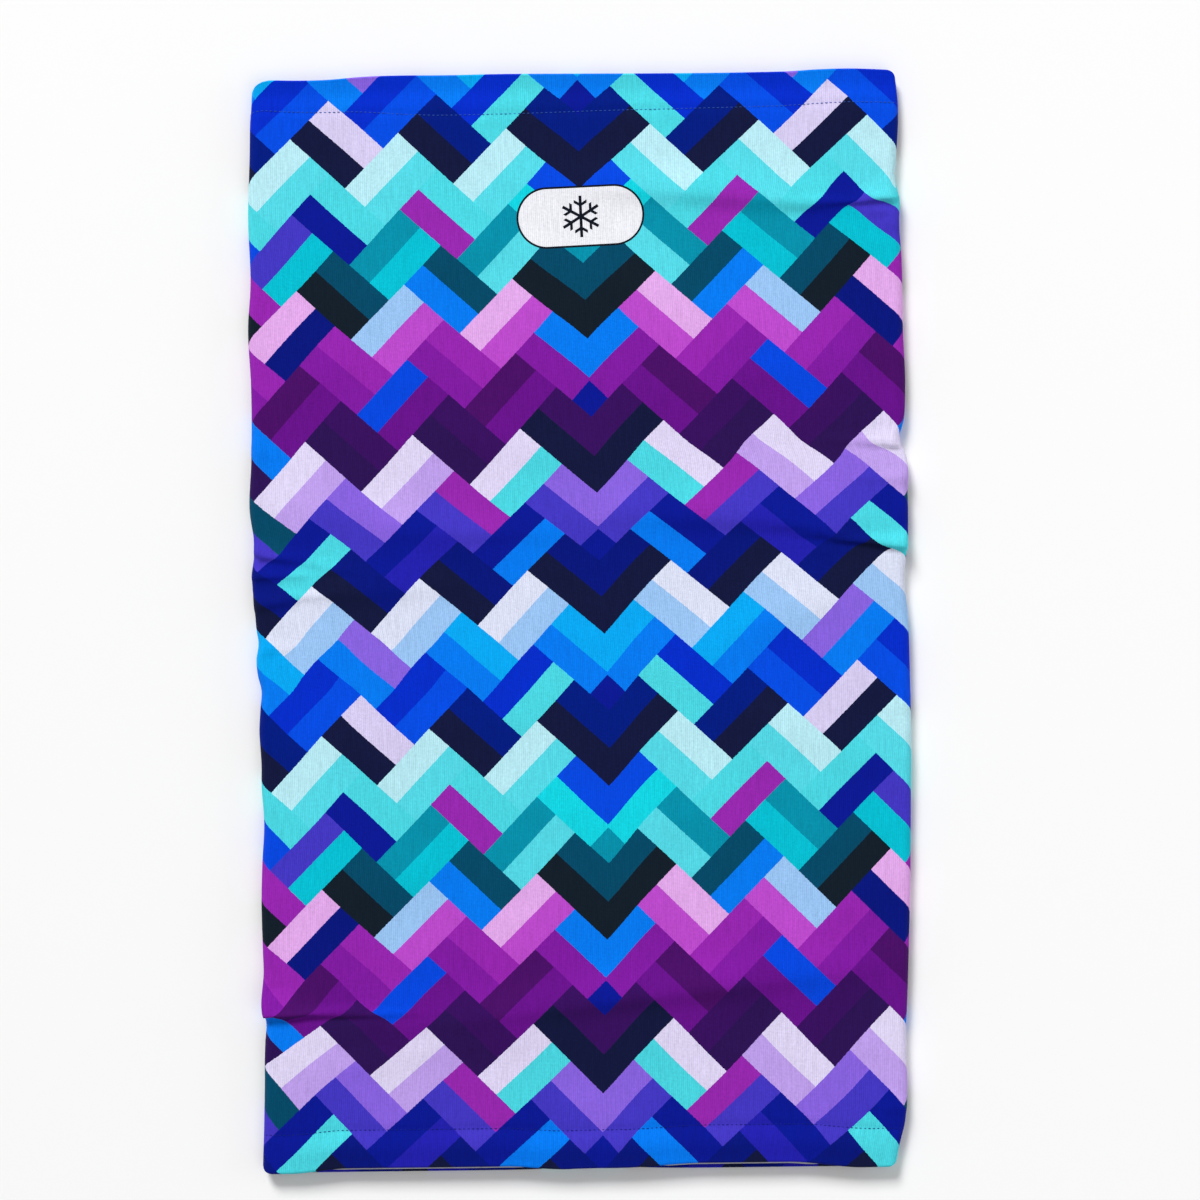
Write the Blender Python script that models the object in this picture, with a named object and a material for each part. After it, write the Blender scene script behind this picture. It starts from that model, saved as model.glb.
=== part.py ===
"""A lined neck gaiter lying flat on its back panel, front panel up.

A printed outer tube (the shell) is bagged out with a soft inner tube (the lining): the two are sewn
together at each end, turned, and topstitched a finger's width from the edge. Each tube is one strip of
knitted cloth closed by a seam down the back.

Axes: X across the flat tube, Y along it with the top hem at +Y, Z up. The origin is on the surface that
the gaiter lies on, under its middle. Everything is in metres.
"""

import math

import bmesh
import bpy
from mathutils import Vector

# Driving dimensions
FLAT_WIDTH = 0.240  # from side fold to side fold, lying flat
LENGTH = 0.405  # from hem edge to hem edge
THICKNESS = 0.010  # both walls and the slack between them
SHELL_CLOTH = 0.0004
LINING_CLOTH = 0.0005
THREAD = 0.0003
LABEL_RIBBON = 0.00012
PIECE_GAP = 0.0003  # between separate pieces that touch
PLY_GAP = 0.00015  # between two plies of one piece
TOPSTITCH_INSET = 0.014  # from the hem edge to the topstitching
STITCH_DIP = 0.0006  # how far a row of stitches pulls the cloth in
STITCH_DIP_WIDTH = 0.003
SEAM_ALLOWANCE = 0.006
SEAM_TURN = 0.0016  # length over which the shell turns back under itself at the edge seam
SHELL_SEAM_X = 0.0
LINING_SEAM_X = -0.020  # beside the shell's seam, so that the two don't stack up
LABEL_Y = -0.150
LABEL_WIDTH = 0.025  # along the seam
LABEL_REACH = 0.030  # from the seam to the label's fold

# Mesh fineness
PANEL_STEPS = 6  # across each flat panel
FOLD_STEPS = 6  # round each side fold
ROLL_STEPS = 6  # round a turned edge
TURN_STEPS = 4
THREAD_SIDES = 6

# The stack at a hem, as depths below the shell's outer face, at the middle of each ply
SHELL_DEPTH = SHELL_CLOTH / 2
SHELL_TURNING_DEPTH = SHELL_DEPTH + SHELL_CLOTH + PLY_GAP
LINING_TURNING_DEPTH = SHELL_TURNING_DEPTH + (SHELL_CLOTH + LINING_CLOTH) / 2 + PIECE_GAP
LINING_DEPTH = LINING_TURNING_DEPTH + LINING_CLOTH + PLY_GAP
WALL = LINING_DEPTH + LINING_CLOTH / 2

HALF_LENGTH = LENGTH / 2
STITCH_Y = HALF_LENGTH - TOPSTITCH_INSET
EDGE_ROLL = (LINING_DEPTH - SHELL_DEPTH) / 2  # radius of the shell's middle where it rolls over the edge
ROLL_Y = HALF_LENGTH - SHELL_CLOTH / 2 - EDGE_ROLL
LINING_FOLD_RADIUS = (LINING_DEPTH - LINING_TURNING_DEPTH) / 2
LINING_FOLD_Y = ROLL_Y - SEAM_TURN - LINING_FOLD_RADIUS - LINING_CLOTH / 2 - PLY_GAP
TURNING_END_Y = ROLL_Y - SEAM_ALLOWANCE
BACK_SEAM_HALF = STITCH_Y - STITCH_DIP_WIDTH  # the back seams stop short of the topstitching


def clear_scene():
    for obj in list(bpy.data.objects):
        bpy.data.objects.remove(obj, do_unlink=True)


def material(name, colour, roughness):
    """A cloth or thread finish."""
    made = bpy.data.materials.new(name)
    made.use_nodes = True
    shader = made.node_tree.nodes["Principled BSDF"]
    shader.inputs["Base Color"].default_value = (*colour, 1)
    shader.inputs["Roughness"].default_value = roughness
    shader.inputs["Metallic"].default_value = 0
    return made


def add_object(name, bm, finish):
    """Turns a bmesh into a named object with its faces pointing out."""
    bmesh.ops.recalc_face_normals(bm, faces=bm.faces)
    mesh = bpy.data.meshes.new(name)
    bm.to_mesh(mesh)
    bm.free()
    mesh.materials.append(finish)
    mesh.shade_smooth()
    mesh.set_sharp_from_angle(angle=math.radians(40))
    obj = bpy.data.objects.new(name, mesh)
    bpy.context.scene.collection.objects.link(obj)
    return obj


# --- Outlines: a point is (along, depth) for the tubes, or (across, height) for straight strips


def arc(centre, radius, start, end, steps):
    """Points on an arc, in degrees, with both ends."""
    angles = (math.radians(start + (end - start) * i / steps) for i in range(steps + 1))
    return [(centre[0] + radius * math.cos(a), centre[1] + radius * math.sin(a)) for a in angles]


def strip_outline(path, cloth):
    """The closed outline of a strip of cloth whose middle follows the path."""
    points = [Vector(p) for p in path]
    one_side, other_side = [], []
    for i, here in enumerate(points):
        into = (here - points[i - 1]).normalized() if i else None
        out = (points[i + 1] - here).normalized() if i + 1 < len(points) else None
        into, out = into or out, out or into
        middle = (into + out).normalized()
        aside = Vector((-middle.y, middle.x)) * (cloth / 2 / max(middle.dot(out), 0.5))
        one_side.append(here + aside)
        other_side.append(here - aside)
    return one_side + other_side[::-1]


def stitch_dip(depth, towards):
    """The dip that a row of stitches at the hem makes in a ply, from the body side to the edge."""
    across = STITCH_DIP_WIDTH / 2
    shape = ((-across, 0), (-across / 2, 0.55), (0, 1), (across / 2, 0.55), (across, 0))
    return [(STITCH_Y + y, depth + towards * STITCH_DIP * share) for y, share in shape]


def both_ends(path):
    """The path from the middle of the tube to its top edge, continued to the bottom edge by mirroring."""
    return [(-y, depth) for y, depth in reversed(path)] + path


def shell_path():
    """The shell's middle: the wall, the roll over the edge, then the turning back inside the hem."""
    roll = arc((ROLL_Y, SHELL_DEPTH + EDGE_ROLL), EDGE_ROLL, -90, 90, ROLL_STEPS)
    turn = []
    for i in range(1, TURN_STEPS + 1):
        share = i / TURN_STEPS
        eased = share * share * (3 - 2 * share)
        depth = LINING_DEPTH + (SHELL_TURNING_DEPTH - LINING_DEPTH) * eased
        turn.append((ROLL_Y - SEAM_TURN * share, depth))
    return stitch_dip(SHELL_DEPTH, 1) + roll + turn + [(TURNING_END_Y, SHELL_TURNING_DEPTH)]


def lining_path():
    """The lining's middle: the wall, then the fold at the seam and the turning beside the shell's."""
    centre = (LINING_FOLD_Y, LINING_DEPTH - LINING_FOLD_RADIUS)
    fold = arc(centre, LINING_FOLD_RADIUS, 90, -90, TURN_STEPS)
    return stitch_dip(LINING_DEPTH, -1) + fold + [(TURNING_END_Y, LINING_TURNING_DEPTH)]


# --- Solids


def tube_stations():
    """Places round the flattened tube's outer face, each with the direction inwards."""
    radius = THICKNESS / 2
    reach = FLAT_WIDTH / 2 - radius
    stations = []
    for side in (1, -1):
        for i in range(PANEL_STEPS):
            x = side * (2 * reach * i / PANEL_STEPS - reach)
            stations.append((Vector((x, 0, radius - side * radius)), Vector((0, 0, side))))
        for i in range(FOLD_STEPS):
            angle = math.pi * (i / FOLD_STEPS - side / 2)
            outwards = Vector((math.cos(angle), 0, math.sin(angle)))
            centre = Vector((side * reach, 0, radius))
            stations.append((centre + outwards * radius, -outwards))
    return stations


def tube(name, outline, finish):
    """Sweeps a closed outline of (along, depth) points round the flattened tube."""
    bm = bmesh.new()
    rings = [
        [bm.verts.new(place + inwards * depth + Vector((0, y, 0))) for y, depth in outline]
        for place, inwards in tube_stations()
    ]
    for ring, following in zip(rings, rings[1:] + rings[:1]):
        for i in range(len(outline)):
            bm.faces.new((ring[i - 1], ring[i], following[i], following[i - 1]))
    return add_object(name, bm, finish)


def prism(name, outline, half_length, finish, middle=0.0):
    """Extrudes a closed outline of (across, height) points along Y."""
    bm = bmesh.new()
    near, far = (
        [bm.verts.new((x, middle + end * half_length, z)) for x, z in outline] for end in (-1, 1)
    )
    bm.faces.new(near)
    bm.faces.new(far)
    for i in range(len(outline)):
        bm.faces.new((near[i - 1], near[i], far[i], far[i - 1]))
    return add_object(name, bm, finish)


def thread_outline(y, depth):
    """The round section of a thread."""
    return arc((y, depth), THREAD / 2, 0, 360 - 360 / THREAD_SIDES, THREAD_SIDES - 1)


def add_back_seam(panel, seam_x, wall_depth, inwards, cloth):
    """Joins a tube's two seam allowances to it: they turn off the back panel and lie together to +X."""
    root = wall_depth
    near = wall_depth + inwards * (cloth / 2 + PLY_GAP)
    far = near + inwards * 2 * cloth
    neck = 2 * cloth
    outline = [
        (seam_x, root),
        (seam_x + neck, root),
        (seam_x + neck, near),
        (seam_x + SEAM_ALLOWANCE, near),
        (seam_x + SEAM_ALLOWANCE, far),
        (seam_x, far),
    ]
    flap = prism(panel.name + "_allowance", outline, BACK_SEAM_HALF, panel.data.materials[0])
    flap.hide_render = True
    flap.display_type = "WIRE"
    join = panel.modifiers.new("back_seam", "BOOLEAN")
    join.operation = "UNION"
    join.object = flap
    return (near + far) / 2


def seam_thread(name, seam_x, height, finish):
    """The overlock thread along the raw edge of a back seam's allowances."""
    x = seam_x + SEAM_ALLOWANCE + PIECE_GAP + THREAD / 2
    return prism(name, thread_outline(x, height), BACK_SEAM_HALF, finish)


def care_label(finish):
    """A blank folded ribbon caught in the lining's seam, lying on the back panel inside the tube."""
    lower = WALL + PIECE_GAP + LABEL_RIBBON / 2
    radius = (LABEL_RIBBON + PLY_GAP) / 2
    fold_x = LINING_SEAM_X + LABEL_REACH
    fold = arc((fold_x, lower + radius), radius, -90, 90, TURN_STEPS)
    path = [(LINING_SEAM_X, lower), *fold, (LINING_SEAM_X, lower + 2 * radius)]
    outline = strip_outline(path, LABEL_RIBBON)
    return prism("care_label", outline, LABEL_WIDTH / 2, finish, middle=LABEL_Y)


def main():
    clear_scene()
    print_blue = material("printed_knit", (0.03, 0.10, 0.55), 0.85)
    soft_grey = material("brushed_lining", (0.62, 0.63, 0.67), 0.95)
    blue_thread = material("blue_thread", (0.10, 0.22, 0.60), 0.6)
    grey_thread = material("grey_thread", (0.60, 0.60, 0.64), 0.6)
    white_ribbon = material("label_ribbon", (0.85, 0.85, 0.84), 0.5)

    shell = tube("shell", strip_outline(both_ends(shell_path()), SHELL_CLOTH), print_blue)
    lining = tube("lining", strip_outline(both_ends(lining_path()), LINING_CLOTH), soft_grey)
    shell_edge = add_back_seam(shell, SHELL_SEAM_X, SHELL_DEPTH, 1, SHELL_CLOTH)
    lining_edge = add_back_seam(lining, LINING_SEAM_X, LINING_DEPTH, -1, LINING_CLOTH)
    seam_thread("shell_seam_thread", SHELL_SEAM_X, shell_edge, blue_thread)
    seam_thread("lining_seam_thread", LINING_SEAM_X, lining_edge, grey_thread)

    needle_depth = THREAD / 2
    bobbin_depth = WALL - THREAD / 2
    edge_seam_y = TURNING_END_Y - PIECE_GAP - THREAD / 2
    edge_seam_depth = (SHELL_TURNING_DEPTH + LINING_TURNING_DEPTH) / 2
    for end, side in (("top", 1), ("bottom", -1)):
        rows = {
            "edge_seam_thread": (edge_seam_y, edge_seam_depth, grey_thread),
            "hem_needle_thread": (STITCH_Y, needle_depth, blue_thread),
            "hem_bobbin_thread": (STITCH_Y, bobbin_depth, grey_thread),
        }
        for row, (y, depth, finish) in rows.items():
            tube(f"{end}_{row}", thread_outline(side * y, depth), finish)

    care_label(white_ribbon)


main()
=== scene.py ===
"""A printed, lined neck gaiter lying flat, photographed from straight above.

The cloth pieces are grids in the cloth's own coordinates: s runs round the tube from the centre front
(positive to the right, the back seam at +-HALF_ROUND) and y along it, with the top hem at +Y. Depth is
measured from the shell's outer face into the tube. Everything is in metres.
"""

import math

import bpy
import numpy as np
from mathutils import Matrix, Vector


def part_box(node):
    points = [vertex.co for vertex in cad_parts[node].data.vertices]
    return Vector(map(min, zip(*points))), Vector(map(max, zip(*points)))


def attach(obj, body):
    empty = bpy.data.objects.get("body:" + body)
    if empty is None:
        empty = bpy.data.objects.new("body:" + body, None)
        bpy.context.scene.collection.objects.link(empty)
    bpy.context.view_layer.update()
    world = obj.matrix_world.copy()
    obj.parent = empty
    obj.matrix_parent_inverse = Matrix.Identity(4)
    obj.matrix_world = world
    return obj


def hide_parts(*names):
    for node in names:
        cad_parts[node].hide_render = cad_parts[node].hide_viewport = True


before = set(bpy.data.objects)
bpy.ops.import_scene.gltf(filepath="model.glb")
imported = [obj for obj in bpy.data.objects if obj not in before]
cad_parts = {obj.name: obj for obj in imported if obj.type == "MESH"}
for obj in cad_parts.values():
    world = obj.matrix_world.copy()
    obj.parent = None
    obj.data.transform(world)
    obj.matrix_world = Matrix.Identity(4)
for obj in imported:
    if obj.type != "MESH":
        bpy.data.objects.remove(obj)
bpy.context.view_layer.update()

MM = 0.001

# The tube
HALF_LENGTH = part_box("shell")[1].y
HALF_ROUND = 240 * MM  # from the centre front round to the back seam
HALF_WIDTH = HALF_ROUND / 2
FOLD_S = 121 * MM  # the side folds' outermost line, where the front turns into the back
WRAP_S = 125 * MM  # how far round a side the front's wrinkles still move the cloth
SEAM_GAP = 4 * MM  # the seams' dips stop this far from the side folds
EDGE_RADIUS = 3.3 * MM  # of the side folds, across the tube
LINING_DEPTH = 2.1 * MM  # of the lining's face below the shell's outer face
LINING_SEAM_S = -220 * MM
STITCH_DIP = 0.22 * MM  # how deep the topstitching pulls the shell in


# ----------------------------------------
# Small mathematics


def smooth(x, low, high):
    """0 below low, 1 above high and a smooth step between."""
    t = np.clip((x - low) / (high - low), 0, 1)
    return t * t * (3 - 2 * t)


def hill(x, middle, width):
    """A rounded bump of height 1 at the middle."""
    return np.exp(-(((x - middle) / width) ** 2))


def curve(x, points):
    """A smooth line through (x, value) pairs, both given in thousandths, evaluated at x in metres."""
    points = sorted(points)
    px, pv = np.array(points, float).T * MM
    slope = np.gradient(pv, px)
    x = np.clip(x, px[0], px[-1])
    i = np.clip(np.searchsorted(px, x) - 1, 0, len(px) - 2)
    span = px[i + 1] - px[i]
    t = (x - px[i]) / span
    a, b = pv[i], pv[i + 1]
    ma, mb = slope[i] * span, slope[i + 1] * span
    return (
        (2 * t**3 - 3 * t**2 + 1) * a
        + (t**3 - 2 * t**2 + t) * ma
        + (-2 * t**3 + 3 * t**2) * b
        + (t**3 - t**2) * mb
    )


def toward(top):
    """The direction along y in which a hem lies."""
    return 1 if top else -1


def across_at(s, turn):
    """How far across the lying tube s lies, when the front meets the back at turn."""
    return np.where(np.abs(s) <= turn, s, np.sign(s) * (HALF_ROUND - np.abs(s)))


# ----------------------------------------
# The shape of the lying tube. The tables are in millimetres.

STRAIGHT_HALF = 119.35 * MM  # half the width of the straight tube, at mid-length
TAPER = 0.45 * MM  # more at the top hem, and less at the bottom one
# How far each side stands out past the straight tube, by height
LEFT_SIDE = [
    (203, -0.6), (195, -0.2), (184, 0.3), (175, 0.5), (150, 1.4), (125, 0.9), (110, 2.0), (88, 1.2),
    (60, 1.5), (43, 2.4), (27, 0.7), (19, 1.7), (5, 0.9), (-2, 0.4), (-7, -0.4), (-13, 0.6), (-19, 0.1),
    (-24, -1.1), (-31, -0.6), (-40, -0.1), (-46, -0.4), (-52, -0.7), (-58, -0.6), (-74, -1.4),
    (-88, -0.5), (-103, 0.0), (-120, -0.4), (-130, -0.5), (-138, 0.1), (-142, -0.3), (-148, -1.2),
    (-154, -0.7), (-165, -0.4), (-187, 0.3), (-203, 0.9),
]  # fmt: skip
RIGHT_SIDE = [
    (203, -1.0), (193, -0.1), (184, 0.0), (170, -0.9), (161, -1.5), (154, 0.1), (147, -0.1), (135, 0.7),
    (105, 1.1), (85, 1.7), (72, 0.8), (66, -0.8), (60, 1.6), (45, 2.0), (26, 1.7), (15, 0.7), (0, 1.9),
    (-20, 2.4), (-45, 2.6), (-75, 2.2), (-90, 2.0), (-120, 1.1), (-143, 0.2), (-152, -0.3),
    (-178, -0.2), (-186, -0.9), (-194, -2.6), (-203, -4.4),
]  # fmt: skip


def side(y, right):
    """Where the side fold's outermost line is."""
    half = STRAIGHT_HALF + TAPER * y / HALF_LENGTH
    return half + curve(y, RIGHT_SIDE if right else LEFT_SIDE)


def edge_height(y):
    """Height of the tube just inside its side folds."""
    return 6.6 * MM - 0.6 * MM * smooth(np.abs(y), 150 * MM, 200 * MM)


def middle_height(y):
    """Height of the tube along its middle, lower towards the hems."""
    return 9.2 * MM - 2.6 * MM * smooth(np.abs(y), 90 * MM, 200 * MM)


SAMPLES = 700  # along the flat part of a cross-section
SWELL_WIDTH = 17 * MM  # how quickly the top rises from its edges to the middle


def section(y, depth, right):
    """Half of a cross-section as (x, z, arc length), from the top middle round to the bottom middle."""
    reach = side(y, right) - depth
    radius = EDGE_RADIUS - depth
    low, high = edge_height(y), middle_height(y)
    straight = reach - radius
    flat = np.linspace(0, 1, SAMPLES)
    turn = np.linspace(0, math.pi, SAMPLES // 4)[1:-1]
    x_flat = straight * flat
    inward = (straight - x_flat) / SWELL_WIDTH
    swell = (high - low) * inward**2 / (1 + inward**2)
    top = low + swell - depth
    under = np.full_like(x_flat, depth)
    centre, tall = low / 2, low / 2 - depth
    x = np.concatenate([x_flat, straight + radius * np.sin(turn), x_flat[::-1]])
    z = np.concatenate([top, centre + tall * np.cos(turn), under])
    arc = np.concatenate([[0], np.cumsum(np.hypot(np.diff(x), np.diff(z)))])
    return x, z, arc


# The topstitching's distance from the hem edge
BOTTOM_INSET = 14.4 * MM
TOP_INSET_BACK = 12.5 * MM
TOP_INSET_FRONT = [
    (-120, 11.2), (-85, 12.6), (-60, 14.6), (-30, 14.9), (20, 13.6), (70, 12.8), (120, 12.2),
]  # fmt: skip


def stitch_inset(s, top):
    """Distance of the topstitching from the hem edge, round the tube."""
    if not top:
        return np.full_like(s, BOTTOM_INSET)
    front = curve(np.clip(s, -119 * MM, 119 * MM), TOP_INSET_FRONT)
    return np.where(np.abs(s) < FOLD_S + 1 * MM, front, TOP_INSET_BACK)


# The rounded corners: where their outermost points lie, and their sizes, left and right
CORNER_S = 120.2 * MM
TOP_CORNERS = 8.5 * MM, 5 * MM
BOTTOM_CORNERS = 4.6 * MM, 4.6 * MM
# The top hem's edge, across the tube
TOP_HEM = [
    (-115, 1.2), (-103, 1.6), (-92, 1.5), (-78, 0.5), (-65, 0.2), (-50, 0.3), (-27, 0.1), (-7, 0.2),
    (30, 0.5), (67, 0.5), (80, 0.3), (91, -0.3), (103, -0.5), (115, 0.0),
]  # fmt: skip


def corner_shift(s, top):
    """How far the rounded corners lie inside the hem edge, round the tube."""
    out = np.zeros_like(s)
    for sign, size in zip((-1, 1), TOP_CORNERS if top else BOTTOM_CORNERS):
        near = np.clip(1 - np.abs(sign * s - CORNER_S) / size, 0, 1)
        out = np.maximum(out, size * (1 - np.sqrt(1 - near**2)))
    return out


def corner_reach(y, top):
    """How much of the corners' shift the cloth at y takes."""
    return smooth(toward(top) * y, HALF_LENGTH - 17 * MM, HALF_LENGTH - 3 * MM)


def parting(s):
    """How far the front's bottom hem lies back from the back's, in a left and a right stretch."""
    left = smooth(s, -110 * MM, -88 * MM) * (1 - smooth(s, -30 * MM, -6 * MM))
    right = smooth(s, 8 * MM, 45 * MM) * (1 - smooth(s, 78 * MM, 107 * MM))
    return (1.9 * left + 2.4 * right) * MM


def hem_shift(s, top):
    """How far the hem edge lies inside the full length, round the tube."""
    front = np.abs(s) < FOLD_S
    x = across_at(s, FOLD_S)
    if top:
        return curve(x, TOP_HEM) + np.where(front, 0, 0.5 * MM)
    line = -0.6 * MM + 0.9 * MM * hill(x, 5 * MM, 20 * MM)
    return line + np.where(front, 0.15 * MM + parting(s), 0)


# Creases and soft ridges that run in from a side: side, height where they start, how far in they
# reach, slope, ridge height, width, lean towards the bottom hem
RIDGES = [
    (-1, -139.5, 80, -0.04, 3.8, 6.5, 4.6),
    (-1, -120.0, 70, 0.05, 1.2, 11.0, 0.0),
    (-1, 28.0, 60, -0.20, 2.0, 3.8, 1.3),
    (-1, 18.5, 48, 0.02, 1.6, 3.2, 1.1),
    (-1, 7.0, 44, 0.16, 1.6, 4.0, 0.9),
    (-1, -9.0, 40, 0.10, 0.9, 4.0, 0.4),
    (-1, 64.0, 40, -0.10, 0.8, 5.0, 0.0),
    (1, 158.0, 62, -0.12, 2.6, 4.6, 2.6),
    (1, 146.0, 50, -0.02, 1.0, 5.0, 0.4),
    (1, 65.0, 44, 0.05, 1.8, 3.4, 1.6),
    (1, 53.0, 44, -0.05, 0.9, 4.5, 0.3),
    (1, 28.0, 70, 0.10, 2.6, 4.2, 2.6),
    (1, 40.0, 70, -0.12, 1.0, 7.0, 0.0),
    (1, 52.0, 60, -0.10, 0.6, 6.0, 0.0),
    (1, -30.0, 62, -0.25, 0.6, 8.0, 0.0),
    (1, -52.0, 60, 0.10, 0.5, 7.0, 0.0),
    (1, -180.0, 26, 0.02, 0.8, 4.0, 0.5),
    (-1, -163.0, 40, 0.10, -0.8, 6.0, 0.0),
]
CREASE_OUT = 0.08  # how far a ridge stands out past the side, against its height
STEEPER = 0.62  # the width of a ridge's lower side against its upper side
# Soft swellings in the open panel: s, y, half-length, half-width, turn in degrees, height
SWELLS = [
    (-52, 130, 34, 9, 28, 0.5), (36, 118, 40, 8, -18, 0.5), (70, 92, 42, 9, 12, 0.5),
    (-30, 66, 46, 8, -10, 0.5), (30, 40, 60, 9, 8, 0.6), (-62, 34, 40, 7, -14, 0.6),
    (66, -2, 40, 8, 24, 0.6), (-50, -40, 46, 9, 10, 0.5), (84, -44, 34, 8, -20, 0.6),
    (10, -72, 60, 10, -6, 0.5), (-72, -96, 40, 9, 16, 0.5), (54, -134, 44, 9, 10, 0.7),
    (-24, -150, 56, 9, -4, 0.6), (-64, -158, 36, 7, 12, 0.7), (96, -106, 26, 8, 30, 0.5),
    (-92, 92, 26, 8, 34, 0.5), (0, 158, 50, 9, 4, 0.4),
]  # fmt: skip
# Long shallow folds across the panel, in the same terms
FOLDS = [
    (15, -139, 75, 4.4, 6.6, 1.7), (54, 156.6, 46, 4.2, -4.4, 1.7), (66, 36.9, 44, 4.2, -2.6, 1.4),
    (-37, 33.5, 24, 4.0, 0, 0.9), (-76, 12, 26, 4.0, 3, 0.9),
]  # fmt: skip
FOLD_EASE = 1.9  # how much wider a fold's upper side is than its lower side


def mound(s, y, shape, ease=1):
    """Height of one swelling, whose upper side is ease times as wide as its lower side."""
    cs, cy, long, wide, turn, tall = shape
    a = math.radians(turn)
    p, q = s - cs * MM, y - cy * MM
    u, v = p * math.cos(a) + q * math.sin(a), -p * math.sin(a) + q * math.cos(a)
    v = np.where(v > 0, v / ease, v)
    return tall * MM * hill(u, 0, long * MM) * hill(v, 0, wide * MM)


def wrinkle(s, y, edge, creased=True):
    """Offsets (up, along y, out past the side) that the folds give the front of the shell."""
    lift, slide, out = np.zeros_like(s), np.zeros_like(s), np.zeros_like(s)
    for sign, start, reach, slope, tall, wide, lean in RIDGES if creased else ():
        here = sign * s > 0
        inward = np.maximum(edge - sign * s, 0)
        fade = np.clip(1 - inward / (reach * MM), 0, 1) ** 1.5 * here
        at = y - (start * MM + slope * inward)
        ridge = hill(at, 0, np.where(at > 0, wide, STEEPER * wide) * MM)
        lift += tall * MM * fade * ridge
        slide -= lean * MM * fade * ridge
        out += CREASE_OUT * tall * MM * ridge * hill(inward, 0, 5 * MM) * here
    for shape in SWELLS:
        lift += mound(s, y, shape)
    for shape in FOLDS:
        lift += mound(s, y, shape, FOLD_EASE)
    return lift, slide, out


def place(s, y, depth, wrinkled=True, creased=True):
    """Points (x, y, z) at (s, y, depth), in arrays that broadcast together."""
    s, y = np.broadcast_arrays(np.asarray(s, float), np.asarray(y, float))
    depth = np.broadcast_to(np.asarray(depth, float), s.shape)
    shape = s.shape
    s, y, depth = s.ravel(), y.ravel(), depth.ravel()
    out = np.zeros((len(s), 3))
    # One cross-section serves all the points that share their height and depth
    keys = np.round(np.stack([y, depth], 1) / 1e-6).astype(np.int64)
    group = np.unique(keys, axis=0, return_inverse=True)[1].ravel()
    order = np.argsort(group, kind="stable")
    ends = np.concatenate([[0], np.cumsum(np.bincount(group))])
    for start, end in zip(ends, ends[1:]):
        members = order[start:end]
        for right in (False, True):
            part = members[(s[members] >= 0) == right]
            if len(part) == 0:
                continue
            x, z, arc = section(y[members[0]], depth[members[0]], right)
            at = np.abs(s[part]) / HALF_ROUND * arc[-1]
            out[part, 0] = np.interp(at, arc, x) * (1 if right else -1)
            out[part, 2] = np.interp(at, arc, z)
    out[:, 1] = y
    for top in (False, True):
        near = smooth(toward(top) * y, HALF_LENGTH - 45 * MM, HALF_LENGTH - 6 * MM)
        shift = hem_shift(s, top) * near + corner_shift(s, top) * corner_reach(y, top)
        out[:, 1] -= toward(top) * shift
    if wrinkled:
        here = np.abs(s) < WRAP_S
        edge = np.where(s > 0, side(y, True), side(y, False))
        lift, slide, swell = wrinkle(np.where(here, s, 0), y, edge, creased)
        # The wrinkles fade out round the side folds and before the hems
        over = np.clip((np.abs(s) - 118 * MM) / (5 * MM), 0, 1)
        free = 1 - smooth(np.abs(y), HALF_LENGTH - 22 * MM, HALF_LENGTH - 12 * MM)
        front = here * (1 - over) * free
        out[:, 2] += lift * front
        out[:, 1] += slide * front
        out[:, 0] += np.sign(s) * swell * free * here
    return out.reshape(shape + (3,))


# ----------------------------------------
# Where the print lies on the tube. The tables give values by height, in millimetres where nothing
# else is said.

PRINT_TOP = 182.7 * MM  # height of the print's first whole row on the centre line
# How far right the print's mirror line lies
DRIFT = [
    (203, 1.2), (183, 1.4), (163, 1.6), (128, 2.8), (109, 3.6), (73, 5.0), (54, 6.3), (21, 7.2),
    (2, 8.3), (-34, 10.0), (-53, 9.9), (-70, 9.2), (-91, 9.3), (-110, 8.7), (-146, 7.3), (-165, 6.6),
    (-203, 6.0),
]  # fmt: skip
# How much the rows rise to the right, in thousandths
RISE = [
    (203, 22), (183, 27), (163, 34), (140, 43), (128, 45), (100, 47), (73, 48), (54, 56), (21, 62),
    (-34, 61), (-53, 63), (-91, 60), (-110, 54), (-129, 43), (-146, 29), (-165, 8), (-203, 0),
]  # fmt: skip
# How far the rows lie above their even places
GATHER = [
    (203, 0.3), (190, 0.3), (170, -0.1), (150, -0.3), (90, -0.4), (60, -0.9), (50, -0.7), (21, 2.0),
    (2, 2.3), (-34, 1.4), (-53, 1.1), (-91, -0.2), (-129, -1.2), (-150, -1.2), (-169, -2.1),
    (-189, -3.4), (-203, -4.0),
]  # fmt: skip
# The print's spread across, left and right of its mirror line, against the lattice's own, in thousandths
SPREAD_LEFT = [
    (203, -10), (150, -26), (100, -26), (60, -31), (40, -30), (0, -25), (-40, -15), (-70, -22),
    (-100, -14), (-150, -13), (-203, 0),
]  # fmt: skip
SPREAD_RIGHT = [
    (203, 0), (150, -20), (100, -20), (70, -8), (40, -12), (5, -5), (-10, -13), (-40, -20), (-70, -28),
    (-100, -36), (-120, -28), (-150, -10), (-170, -5), (-203, 15),
]  # fmt: skip
# The right half starts this far beyond the mirror line
SKIP_RIGHT = [
    (203, 0.3), (150, 0.2), (100, 0.4), (50, 0.7), (0, 0.9), (-30, 1.5), (-110, 1.5), (-170, 1.2),
    (-203, 2.0),
]  # fmt: skip
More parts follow.
